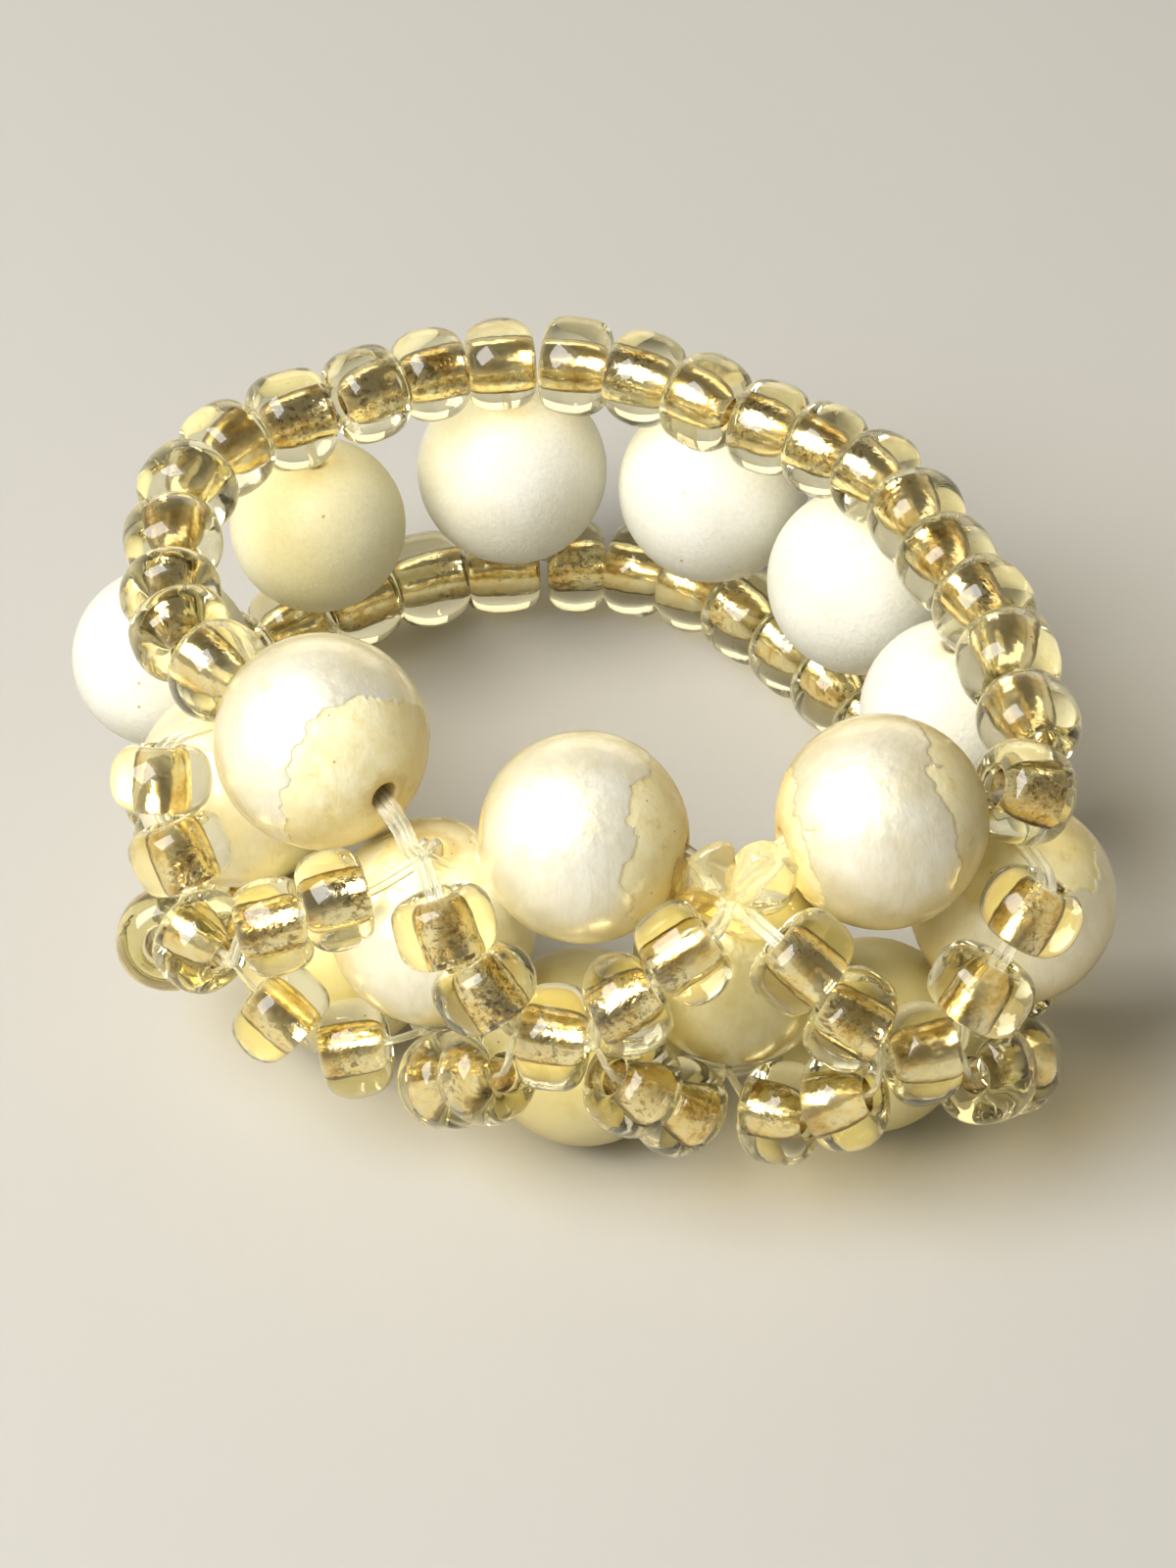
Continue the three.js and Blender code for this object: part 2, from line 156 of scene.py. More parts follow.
def in_plan(name, offset=(0, 0), z=0.0):
    """A place over or under an upright pearl, in the ring frame."""
    row = LADDER[name]
    return Vector((row["x"] + offset[0], row["y"] + offset[1], z))


def box_centre(node):
    """The middle of a CAD node's box, in metres."""
    low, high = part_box(node)
    return (low + high) / 2


# How far the leaned ring frame is moved, read off a pearl whose plan position is known.
SHIFT = box_centre("pearl_back_3") - LEANING @ in_plan("back_3") * MM


def to_row(point):
    """A place in the ring frame, taken to the row frame in metres."""
    return LEANING @ Vector(point) * MM + SHIFT


def leaned(points):
    """The same for an array of places."""
    return (points @ np.array(LEANING.transposed())) * MM + np.array(SHIFT)


def placed(local, centre, along, upward):
    """Points given with Z along a bore, placed at centre in the ring frame, then in the row frame."""
    z = along.normalized()
    x = upward.cross(z).normalized()
    y = z.cross(x)
    turn = np.array([x, y, z])
    return leaned(local @ turn + np.array(centre))


# ---------------------------------------------------------------- mesh helpers


def make_piece(name, parts, looks, nodes):
    """One object from (vertices in metres, faces, material indices) parts, riding on the root."""
    vertices, faces, indices, base = [], [], [], 0
    for points, part_faces, part_indices in parts:
        vertices.append(points)
        if isinstance(part_faces, np.ndarray):
            faces.extend((part_faces + base).tolist())
        else:
            faces.extend([corner + base for corner in face] for face in part_faces)
        indices.extend(part_indices)
        base += len(points)
    mesh = bpy.data.meshes.new(name)
    mesh.from_pydata(np.concatenate(vertices).tolist(), [], faces)
    mesh.polygons.foreach_set("material_index", indices)
    mesh.polygons.foreach_set("use_smooth", [True] * len(faces))
    for material in looks:
        mesh.materials.append(material)
    piece = bpy.data.objects.new(name, mesh)
    bpy.context.scene.collection.objects.link(piece)
    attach(piece, "root")
    if nodes:
        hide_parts(*nodes)
    return piece


def wrapped_quads(rows, sides):
    """Quads of a grid of points that closes on itself both ways."""
    row, side = np.meshgrid(np.arange(rows), np.arange(sides), indexing="ij")
    next_row, next_side = (row + 1) % rows, (side + 1) % sides
    corners = (row * sides + side, next_row * sides + side,
               next_row * sides + next_side, row * sides + next_side)
    return np.stack([corner.ravel() for corner in corners], axis=1)


def any_offset(dice):
    """A place far out in the noise, so that each piece gets its own."""
    return Vector([dice.uniform(-50, 50) for _ in range(3)])


# ---------------------------------------------------------------- seed beads

SEED_SIDES = 32
SEED_BORE = 0.57
SEED_LIP = 0.18
OUTER_ROWS = 23
# The lining covers this share of the bore.
LINED_SHARE = 0.82
LINED_ROWS = 9
# Beads differ in radius, as a share of the usual one, and in how square their profile is.
RADIUS_SHARES = (0.96, 1.03)
SQUARENESS = (2.0, 2.8)
# A bead is out of round: lobes round its bore, and the most that each reaches, as shares of radius.
LOBES = ((2, 0.03), (3, 0.015), (4, 0.015))
RIPPLE = 0.012
RIPPLE_PER_MM = 4.1
MOST_SLANT = 0.09
# Phases are drawn from zero to about a full turn.
LAST_PHASE = 6.3
# Rounded ends let neighbours in a bend come closer, as if each end had this radius.
END_RADIUS = 0.35


def seed_profile(radius, length, square):
    """Rows of (radius, along, lined) round a bead's wall. The bore's rows carry the lining."""
    lined_rows = np.linspace(-0.5, 0.5, LINED_ROWS) * LINED_SHARE
    bore = [(SEED_BORE, z * (length - 2 * SEED_LIP), abs(z) <= LINED_SHARE / 2)
            for z in (-0.5, *lined_rows, 0.5)]
    outer = []
    hub = SEED_BORE + SEED_LIP
    for turn in np.linspace(math.pi / 2, -math.pi / 2, OUTER_ROWS):
        across = math.copysign(abs(math.cos(turn)) ** (2 / square), math.cos(turn))
        along = math.copysign(abs(math.sin(turn)) ** (2 / square), math.sin(turn))
        outer.append((hub + (radius - hub) * across, along * length / 2, False))
    lips = []
    for side in (1, -1):
        corner = [(SEED_BORE + SEED_LIP * (1 - math.cos(t)),
                   side * (length / 2 - SEED_LIP * (1 - math.sin(t))), False)
                  for t in (math.pi / 6, math.pi / 3)]
        lips.append(corner if side > 0 else corner[::-1])
    return bore + lips[0] + outer + lips[1]


def seed_bead(centre, along, length, upward, dice):
    """One glass bead with its lined bore, a little out of round, as pressed and tumbled glass is."""
    def phase():
        return dice.uniform(0, LAST_PHASE)

    radius = BEAD_RADIUS * dice.uniform(*RADIUS_SHARES)
    rows = seed_profile(radius, length, dice.uniform(*SQUARENESS))
    angle = np.linspace(0, 2 * math.pi, SEED_SIDES, endpoint=False)
    r = np.array([row[0] for row in rows])[:, None]
    z = np.array([row[1] for row in rows])[:, None]
    share = (r - SEED_BORE) / (radius - SEED_BORE)
    wobble = sum(dice.uniform(0.0, most) * np.cos(lobes * angle + phase()) for lobes, most in LOBES)
    ripple = RIPPLE * np.sin(z * RIPPLE_PER_MM + phase()) * np.cos(angle + phase())
    r = r * (1 + share * (wobble + ripple))
    slant = dice.uniform(0.0, MOST_SLANT)
    z = z * (1 + slant * np.cos(angle + phase()) * share)
    local = np.stack([r * np.cos(angle), r * np.sin(angle), z + 0 * angle], axis=2).reshape(-1, 3)
    lined = [row[2] for row in rows]
    indices = [1 if lined[i] and lined[(i + 1) % len(rows)] else 0 for i in range(len(rows))]
    return (placed(local, centre, along, upward), wrapped_quads(len(rows), SEED_SIDES),
            np.repeat(indices, SEED_SIDES).tolist())


def fit_lengths(beads, wanted):
    """Each bead as long as its neighbours leave it. Rounded ends need little room in a bend."""
    fitted = []
    for index, (at, along) in enumerate(beads):
        length = wanted
        for other in (index - 1, index + 1):
            if 0 <= other < len(beads):
                turn = along.angle(beads[other][1])
                room = (at - beads[other][0]).length - 2 * END_RADIUS * math.tan(turn / 2)
                length = min(length, room)
        fitted.append((at, along, length))
    return fitted


def edge_beads(row, edge):
    """Beads spread evenly along a bowed path from one tie to the next."""
    height = EDGE_HEIGHT if edge == "top" else -EDGE_HEIGHT
    start = in_plan(row["from"], LADDER[row["from"]][edge], height)
    end = in_plan(row["to"], LADDER[row["to"]][edge], height)
    count, bulge = row[edge]
    chord = end - start
    outward = chord.cross(UP).normalized()
    if outward.dot(start + end) < 0:
        outward.negate()
    trim = TIE_GAP / chord.length

    def path(share):
        place = trim + share * (1 - 2 * trim)
        return start + chord * place + outward * (4 * place * (1 - place) * bulge)

    beads = []
    for i in range(count):
        a, b = path(i / count), path((i + 1) / count)
        beads.append(((a + b) / 2, (b - a).normalized()))
    return fit_lengths(beads, BEAD_LENGTH + EDGE_BEAD_SLACK)


def unit_frame(unit):
    """The middle of a plaque unit, the way along it and the way out of it."""
    a, b = in_plan(unit["from"]), in_plan(unit["to"])
    along = (b - a).normalized()
    return (a + b) / 2, along, along.cross(UP)


def in_unit(unit, place):
    """A place given along a unit, outward and up, in the ring frame."""
    middle, along, out = unit_frame(unit)
    return middle + along * place[0] + out * place[1] + UP * place[2]


def top_centre(unit):
    """Where a top pearl rests on the two upright pearls below it."""
    half = (in_plan(unit["from"]) - in_plan(unit["to"])).length / 2
    largest = max(LADDER[unit["from"]]["size"], LADDER[unit["to"]]["size"])
    reach = (largest + unit["top"]) / 2 + PEARL_GAP
    return in_unit(unit, (0, unit["out"], math.sqrt(reach * reach - half * half)))


def top_bore(unit):
    """The way a top pearl's bore points: along its unit, turned outward and a little up by its aim."""
    along, out = unit_frame(unit)[1:]
    return (along + out * unit["aim"] + UP * (AIM_LIFT * unit["aim"])).normalized()


def arm_beads(name, arm):
    """The outer and inner bead of a net arm, each with its middle and the way inward."""
    outer, inner = (in_unit(UNITS[name], place) for place in NET[name][arm])
    along, out = unit_frame(UNITS[name])[1:]
    aims = AIMS.get((name, arm), {})
    beads = []
    for key, at in (("outer", outer), ("inner", inner)):
        aim = aims.get(key)
        inward = along * aim[0] + out * aim[1] + UP * aim[2] if aim else inner - outer
        beads.append((at, inward.normalized()))
    return beads


def add_string(name, beads, upward):
    """One piece of seed beads, given as (middle, way along the bore, length)."""
    dice = random.Random(name)
    parts = [seed_bead(at, along, length, upward, dice) for at, along, length in beads]
    make_piece(f"beads_{name}", parts, [materials["glass"], materials["lining"]], [name])


def add_seed_beads():
    for index, row in enumerate(EDGE_STRINGS, start=1):
        for edge in ("top", "foot"):
            add_string(f"edge_{edge}_{index}", edge_beads(row, edge), UP)
    for row in TURN_BEADS:
        unit = UNITS[row["unit"]]
        along = unit_frame(unit)[1]
        reach = (unit["top"] + BEAD_LENGTH) / 2 + PEARL_GAP
        centre = top_centre(unit) + along * row["way"] * reach
        add_string(f"edge_turn_{row['unit']}", [(centre, along - UP * row["dip"], BEAD_LENGTH)], UP)
    for name, unit in UNITS.items():
        along, out = unit_frame(unit)[1:]
        for arm, places in NET[name].items():
            if arm == "centre":
                add_string(f"net_{name}_centre", [(in_unit(unit, places), along, NET_BEAD_LENGTH)], UP)
            else:
                add_string(f"net_{name}_{arm}", fit_lengths(arm_beads(name, arm), NET_BEAD_LENGTH), out)


# ---------------------------------------------------------------- pearls

PEARL_BORE = 0.43
MOUTH_SOFTENING = 0.12
MOUTH_DEPTH = 0.06
# Rows down the bore, and rows and sides of the ball. A peeled pearl is finer, for its coat's edge.
BORE_ROWS = 12
WHOLE_GRID = (56, 104)
PEELED_GRID = (130, 240)

# The coated pearls: tone, and how far the coat has peeled round the bore's two mouths, in degrees.
# The head is the mouth that the bore points to: up on an upright pearl, right on a top one.
COATS = {
    "side_left": {"tone": "coated", "head": 30, "tail": 26},
    "side_right": {"tone": "golden", "head": 50, "tail": 44},
    "front_left": {"tone": "coated", "head": 30, "tail": 26},
    "front_right": {"tone": "aged", "head": 30, "tail": 26},
    "top_left": {"tone": "coated", "head": 58, "tail": 24},
    "top_middle": {"tone": "coated", "head": 56, "tail": 22},
    "top_right": {"tone": "golden", "head": 66, "tail": 34},
}
COAT_THICKNESS = 0.03
# The coat thins out over this angle, in radians.
COAT_EDGE = 0.02
# Its edge is ragged: waves of noise per radius, and how far each strays, in radians.
RAGGED = ((2.1, 0.22), (6.3, 0.11), (17.0, 0.05))
# A value well inside the coat.
FULLY_COATED = 9.0
# The other upright pearls are matte, and bleached apart from these.
UNBLEACHED = {"back_2": "cream"}


def pearl_points(radius, rows, sides):
    """A drilled ball with softened mouths, bore along Z, and how many rows of points it has."""
    mouth = math.asin(PEARL_BORE / radius)
    turn = np.linspace(mouth, math.pi - mouth, rows)
    angle = np.linspace(0, 2 * math.pi, sides, endpoint=False)
    r = radius * np.sin(turn)
    z = radius * np.cos(turn)
    edge = np.clip((r - PEARL_BORE) / MOUTH_SOFTENING, 0, 1)
    z = z - np.sign(z) * MOUTH_DEPTH * (1 - edge) ** 2
    inner_z = np.linspace(z[-1], z[0], BORE_ROWS)[1:-1]
    r = np.concatenate([r, np.full(len(inner_z), PEARL_BORE)])
    z = np.concatenate([z, inner_z])
    x = r[:, None] * np.cos(angle)
    y = r[:, None] * np.sin(angle)
    return np.stack([x, y, z[:, None] + 0 * angle], axis=2).reshape(-1, 3), len(r)


def coat_field(local, coat, dice):
    """How far each point lies inside the coated part, in radians; negative where it has peeled."""
    unit_points = local / np.linalg.norm(local, axis=1, keepdims=True)
    offset = any_offset(dice)
    ragged = np.array([
        sum(stray * noise.noise(Vector(point) * waves + offset) for waves, stray in RAGGED)
        for point in unit_points
    ])
    field = np.full(len(local), FULLY_COATED)
    for mouth, reach in (((0, 0, 1), coat["head"]), ((0, 0, -1), coat["tail"])):
        away = np.arccos(np.clip(unit_points @ np.array(mouth), -1, 1))
        field = np.minimum(field, away - math.radians(reach))
    return field + ragged


def add_values(piece, name, values):
    """A number for each point of a piece, which its material reads by this name."""
    attribute = piece.data.attributes.new(name, "FLOAT", "POINT")
    attribute.data.foreach_set("value", values.astype(np.float32))


def add_pearl(node, bore, upward, size, material, coat=None):
    """A drilled pearl in place of its CAD node, peeled round its mouths if it has a coat."""
    radius = size / 2
    rows, sides = PEELED_GRID if coat else WHOLE_GRID
    local, count = pearl_points(radius, rows, sides)
    quads = wrapped_quads(count, sides)
    if coat:
        field = coat_field(local, coat, random.Random(node))
        coated = np.clip(field / COAT_EDGE + 0.5, 0, 1)
        local = local * (1 - (1 - coated) * COAT_THICKNESS / radius)[:, None]
    z = Vector(bore).normalized()
    x = upward.cross(z).normalized()
    turn = np.array([x, z.cross(x), z])
    points = (local @ turn) * MM + np.array(box_centre(node))
    piece = make_piece(f"{node}_looks", [(points, quads, [0] * len(quads))], [material], [node])
    add_values(piece, "from_bore", np.hypot(local[:, 0], local[:, 1]))
    if coat:
        add_values(piece, "coat", field)


def add_pearls():
    tilt = LEANING @ UP
    for name, row in LADDER.items():
        coat = COATS.get(name)
        look = coat["tone"] if coat else UNBLEACHED.get(name, "matte")
        add_pearl(f"pearl_{name}", tilt, Vector((0, 1, 0)), row["size"], materials[look], coat)
    for name, unit in UNITS.items():
        coat = COATS[f"top_{name}"]
        add_pearl(f"pearl_top_{name}", LEANING @ top_bore(unit), UP, unit["top"],
                  materials[coat["tone"]], coat)
        along = LEANING @ unit_frame(unit)[1]
        level = Vector((along.x, along.y, 0))
        add_pearl(f"pearl_foot_{name}", level, UP, unit["foot"], materials["plain"])


# ---------------------------------------------------------------- thread

THREAD_RADIUS = 0.13
THREAD_FLATNESS = 0.8
THREAD_SIDES = 10
THREAD_STEP = 0.28
END_TAPER = 0.55
# Each strand of a bundle strays this far from the others.
SWAY = 0.05
NET_SWAY = 0.03
# Where the strands of a bundle run: aside and up.
THREE_LANES = ((-0.2, 0.0), (0.0, 0.05), (0.2, 0.0))
TWO_LANES = ((-0.14, 0.0), (0.14, 0.03))
ONE_LANE = ((0.0, 0.0),)

# Ties lie this far above the plaque's front pearls and in front of their middles.
TIE_ABOVE = 0.5
TIE_FORWARD = 1.0
# Other ties sink this far into a pearl's mouth.
TIE_SUNK = 0.3
# The two strands in an upright pearl's bore part by this much, and leave it this far out.
POST_SPREAD = 0.2
POST_PAST = 0.1

# The plaque's upper thread enters and leaves each top pearl this far inside its mouths,
# and hangs this far below the middle of the mouth that it leaves by.
ENTRY_IN = 0.4
EXIT_IN = 0.2
EXIT_DROP = 0.25
# It comes up to the middle top pearl from this far in and below, and sags before each tie.
RISE_IN = 0.3
RISE_DROP = 2.2
SAGS = {"left": 0.1, "middle": 0.35}

# A net strand is held straight over this share of each bead, and stands out past the centre bead.
HELD_SHARE = 0.8
NET_PAST = 0.1


def smooth_route(points, step):
    """A Catmull-Rom path through the points, with a new point about every step millimetres."""
    p = [Vector(q) for q in points]
    p = [p[0] * 2 - p[1]] + p + [p[-1] * 2 - p[-2]]
    route = []
    for a, b, c, d in zip(p, p[1:], p[2:], p[3:]):
        pieces = max(2, round((c - b).length / step))
        for i in range(pieces):
            t = i / pieces
            route.append(0.5 * ((2 * b) + (c - a) * t + (2 * a - 5 * b + 4 * c - d) * t * t
                                + (3 * b - a - 3 * c + d) * t ** 3))
    route.append(p[-2])
    return route


def strand(points, offset):
    """A closed thread on a smooth route in the ring frame. The offset moves it aside and up."""
    route = smooth_route(points, THREAD_STEP)
    tangents = [(b - a).normalized() for a, b in zip(route, route[1:])]
    tangents.append(tangents[-1])
    side = tangents[0].cross(UP)
    side = side.normalized() if side.length > 0.1 else Vector((1, 0, 0))
    last = len(route) - 1
    rings = []
    for index, (at, along) in enumerate(zip(route, tangents)):
        side = (side - along * side.dot(along)).normalized()
        other = along.cross(side)
        r = THREAD_RADIUS * (END_TAPER if index in (0, last) else 1.0)
        for k in range(THREAD_SIDES):
            turn = 2 * math.pi * k / THREAD_SIDES
            rings.append(at + side * (offset[0] + r * math.cos(turn))
                         + other * (offset[1] + r * THREAD_FLATNESS * math.sin(turn)))
    faces = []
    for i in range(last):
        near, far = i * THREAD_SIDES, (i + 1) * THREAD_SIDES
        for k in range(THREAD_SIDES):
            j = (k + 1) % THREAD_SIDES
            faces.append([near + k, near + j, far + j, far + k])
    faces.append(list(range(THREAD_SIDES))[::-1])
    faces.append(list(range(last * THREAD_SIDES, (last + 1) * THREAD_SIDES)))
    return leaned(np.array(rings)), faces, [0] * len(faces)


def bundle(points, lanes, dice, sway=SWAY):
    """Parallel strands along one route, each straying a little from it."""
    made = []
    for lane in lanes:
        strayed = [Vector(p) + Vector([dice.uniform(-sway, sway) for _ in range(3)]) for p in points]
        made.append(strand(strayed, lane))
    return made


def add_strands(name, parts, nodes):
    make_piece(f"strands_{name}", parts, [materials["thread"]], nodes)


def tie(name, edge):
    """Where threads cross over or under an upright pearl of the plaque."""
    half = LADDER[name]["size"] / 2
    way = 1 if edge == "top" else -1
    if name.startswith("front"):
        return in_plan(name, (0, -TIE_FORWARD), way * (half + TIE_ABOVE))
    return in_plan(name, (0, 0), way * (half - TIE_SUNK))


def string_ends():
    """For each upright pearl and edge, the middles of the string beads next to its tie."""
    ends = {}
    for row in EDGE_STRINGS:
        for edge in ("top", "foot"):
            beads = edge_beads(row, edge)
            ends.setdefault((row["from"], edge), []).append(beads[0][0])
            ends.setdefault((row["to"], edge), []).append(beads[-1][0])
    return ends


def add_posts():
    """Two strands through each upright pearl, crossing in its bore and parting at its ties."""
    ends = string_ends()
    for name, row in LADDER.items():
        dice = random.Random(name)
        half = row["size"] / 2
        upper, lower = (ends.get((name, edge), []) for edge in ("top", "foot"))
        parts = []
        for index, side in enumerate((-1, 1)):
            aside = POST_SPREAD * side
            below = lower[index:index + 1] if lower else [tie(name, "foot")]
            above = upper[::-1][index:index + 1] if upper else [tie(name, "top")]
            inside = [in_plan(name, (aside, 0), -half - POST_PAST), in_plan(name, (0, aside), 0),
                      in_plan(name, (-aside, 0), half + POST_PAST)]
            parts += bundle(below + inside + above, ONE_LANE, dice)
        add_strands(name, parts, [f"thread_post_{name}"])


def plaque_top_route():
    """From the left turned bead through the three top pearls, by way of the ties between them."""
    route = []
    for name, unit in UNITS.items():
        middle = top_centre(unit)
        along = top_bore(unit)
        reach = unit["top"] / 2
        if name == "left":
            route.append(middle - along * (reach + BEAD_LENGTH))
        if name == "middle":
            route.append(middle - along * (reach - RISE_IN) - UP * RISE_DROP)
        mouth = middle + along * (reach - EXIT_IN)
        route += [middle - along * (reach - ENTRY_IN), middle, mouth - UP * EXIT_DROP]
        if name == "right":
            route.append(middle + along * (reach + BEAD_LENGTH))
        else:
            knot = tie(unit["to"], "top")
            route += [mouth.lerp(knot, 0.5) - UP * SAGS[name], knot]
    return route


def plaque_foot_route():
    """Straight through each foot pearl, by way of the ties between them."""
    route = []
    for name, unit in UNITS.items():
        level = LEANING @ unit_frame(unit)[1]
        level = Vector((level.x, level.y, 0)).normalized()
        for share in (-1, 0, 1):
            at = box_centre(f"pearl_foot_{name}") + level * (share * unit["foot"] / 2 * MM)
            route.append(LEANING.inverted() @ (at - SHIFT) / MM)
        if name != "right":
            route.append(tie(unit["to"], "foot"))
    return route


def add_plaque_threads():
    dice = random.Random("plaque")
    add_strands("plaque_top", bundle(plaque_top_route(), THREE_LANES, dice), ["thread_plaque_top"])
    add_strands("plaque_foot", bundle(plaque_foot_route(), TWO_LANES, dice), ["thread_plaque_foot"])


def add_net_threads():
    """Strands from the ties through the net beads, two by two, to the centre bead of each unit."""
    reach = NET_BEAD_LENGTH / 2 + NET_PAST
    for name, unit in UNITS.items():
        dice = random.Random("net" + name)
        along = unit_frame(unit)[1]
        centre = in_unit(unit, NET[name]["centre"])
        parts = []
        for arm in NET[name]:
            if arm == "centre":
                continue
            edge = "top" if arm.startswith("upper") else "foot"
            way = -1 if arm.endswith("left") else 1
            route = [tie(unit["from"] if way < 0 else unit["to"], edge)]
            for at, inward in arm_beads(name, arm):
                route += [at - inward * reach * HELD_SHARE, at + inward * reach * HELD_SHARE]
            route += [centre + along * (way * reach), centre]
            parts += bundle(route, ONE_LANE if edge == "foot" else TWO_LANES, dice, NET_SWAY)
        add_strands(f"net_{name}", parts, [])


# Drops of dried glue on the knot: place from the tie over the right front pearl, half sizes, and
# turn in degrees.
GLUE = [
    {"at": (-0.68, 0.3, 0.6), "half": (0.8, 0.65, 1.25), "turn": 28},
    {"at": (0.85, 0.35, 0.62), "half": (1.2, 0.85, 1.3), "turn": 20},
    {"at": (0.5, -0.45, -0.4), "half": (1.0, 0.45, 0.55), "turn": 30},
]
AMBER_GLUE = [
    {"at": (-1.75, 0.2, 0.3), "half": (0.55, 0.5, 0.95), "turn": 8},
    {"at": (-1.1, -0.05, -0.2), "half": (0.8, 0.45, 0.5), "turn": -25},
]
GLUE_FINENESS = 4
# A drop swells with soft waves and with creases: waves of noise per radius, and their height.
SOFT_SWELL = (1.3, 0.18)
CREASED_SWELL = (2.6, 0.16)
# Soft faces: how many, how far out each lies, and how much of what stands past it is pressed in.
GLUE_FACES = 8
FACE_PLACES = (0.72, 0.9)
PRESSED_SHARE = 0.85


def glue_drop(drop, at, dice):
    """A lump of clear glue, flattened into a few soft faces as it shrank."""
    shape = bmesh.new()
    bmesh.ops.create_icosphere(shape, subdivisions=GLUE_FINENESS, radius=1.0)
    local = np.array([v.co[:] for v in shape.verts])
    faces = [[v.index for v in face.verts] for face in shape.faces]
    shape.free()
    offset = any_offset(dice)
    soft_waves, soft_height = SOFT_SWELL
    crease_waves, crease_height = CREASED_SWELL
    swell = np.array([
        soft_height * noise.noise(Vector(p) * soft_waves + offset)
        + crease_height * abs(noise.noise(Vector(p) * crease_waves + offset))
        for p in local
    ])
    local = local * (1 + swell)[:, None]
    for _ in range(GLUE_FACES):
        away = Vector([dice.gauss(0, 1) for _ in range(3)]).normalized()
        beyond = np.clip(local @ np.array(away) - dice.uniform(*FACE_PLACES), 0, None)
        local -= PRESSED_SHARE * beyond[:, None] * np.array(away)
    local = local * np.array(drop["half"])
    turn = Matrix.Rotation(math.radians(drop["turn"]), 3, "Y")
    local = local @ np.array(turn.transposed()) + np.array(at)
    return leaned(local), faces, [0] * len(faces)


def add_glue():
    dice = random.Random("glue")
    knot = tie("front_right", "top")
    for name, look, drops in (("clear", "glue", GLUE), ("amber", "amber", AMBER_GLUE)):
        parts = [glue_drop(drop, knot + Vector(drop["at"]), dice) for drop in drops]
        make_piece(f"glue_{name}", parts, [materials[look]], ["thread_plaque_top"])


# ---------------------------------------------------------------- shader helpers


def add_node(tree, kind, inputs=None, **settings):
    """A shader node with its settings; inputs are constants or sockets to link."""
    made = tree.nodes.new("ShaderNode" + kind)
    for key, value in settings.items():
        setattr(made, key, value)
    for key, value in (inputs or {}).items():
        if isinstance(value, bpy.types.NodeSocket):
            tree.links.new(value, made.inputs[key])
        else:
            made.inputs[key].default_value = value
    return made


def new_tree(name):
    """A new material and its empty node tree."""
    material = bpy.data.materials.new(name)
    material.use_nodes = True
    material.node_tree.nodes.clear()
    return material, material.node_tree


def finish_material(tree, shader):
    add_node(tree, "OutputMaterial", {"Surface": shader})


def row_place(tree):
    """Where a point lies in the row frame, in metres."""
    return add_node(tree, "TexCoord").outputs["Object"]


def grain(tree, per_mm, detail=3.0, rough=0.5):
    """Noise in the row frame with about this many features to a millimetre."""
    made = add_node(tree, "TexNoise", {"Vector": row_place(tree), "Scale": per_mm / MM,
                                       "Detail": detail, "Roughness": rough})
    return made.outputs["Fac"]


# Silk: swerves per millimetre and how far they bend the grain, in metres; its slant and its draw.
SWERVES_PER_MM = 0.5
SWERVE = 0.0006
SILK_SLANT = (0.4, 0.7, 0.3)
SILK_DRAW = (1.0, 1.0, 0.35)


def fibres(tree, per_mm, detail):
    """Silky grain: noise drawn out along swerving streaks."""
    at = row_place(tree)
    swerve = add_node(tree, "TexNoise", {"Vector": at, "Scale": SWERVES_PER_MM / MM, "Detail": 2.0})
    bent = add_node(tree, "VectorMath", {0: swerve.outputs["Color"], 1: [SWERVE] * 3, 2: at},
                    operation="MULTIPLY_ADD")
    drawn = add_node(tree, "Mapping", {"Vector": bent.outputs[0], "Rotation": SILK_SLANT,
                                       "Scale": SILK_DRAW})
    made = add_node(tree, "TexNoise", {"Vector": drawn.outputs[0], "Scale": per_mm / MM,
                                       "Detail": detail, "Roughness": 0.65})
    return made.outputs["Fac"]


def ramp(tree, value, stops):
    """A colour ramp from (position, colour) stops."""
    made = add_node(tree, "ValToRGB", {"Fac": value})
    band = made.color_ramp
    while len(band.elements) < len(stops):
        band.elements.new(0.5)
    for element, (position, colour) in zip(band.elements, stops):
        element.position = position
        element.color = (*colour, 1)
    return made.outputs["Color"]


def span(tree, value, low, high, to_low=0.0, to_high=1.0):
    """A value taken from one range to another and held at its ends."""
    made = add_node(tree, "MapRange", {"Value": value, "From Min": low, "From Max": high,
                                       "To Min": to_low, "To Max": to_high})
    return made.outputs["Result"]


def product(tree, a, b):
    return add_node(tree, "Math", {0: a, 1: b}, operation="MULTIPLY").outputs[0]


def total(tree, a, b):
    return add_node(tree, "Math", {0: a, 1: b}, operation="ADD").outputs[0]


def opaque(colour):
    """A colour with its alpha, or the socket that gives one."""
    return colour if isinstance(colour, bpy.types.NodeSocket) else (*colour, 1)


def blended(tree, factor, a, b):
    """Colour a where the factor is zero, turning into b where it is one."""
    made = add_node(tree, "Mix", {0: factor, 6: opaque(a), 7: opaque(b)}, data_type="RGBA")
    return made.outputs[2]


def scaled(colour, share):
    return [share * channel for channel in colour]


def dots(tree, per_mm, radius, share):
    """One where tiny scattered dots lie: radius in cells, share of the cells that have one."""
    cells = add_node(tree, "TexVoronoi", {"Vector": row_place(tree), "Scale": per_mm / MM})
    near = span(tree, cells.outputs["Distance"], 0.5 * radius, radius, 1.0, 0.0)
    drawn = add_node(tree, "SeparateColor", {"Color": cells.outputs["Color"]}).outputs[0]
    return product(tree, near, span(tree, drawn, 1 - share, 1.02 - share))


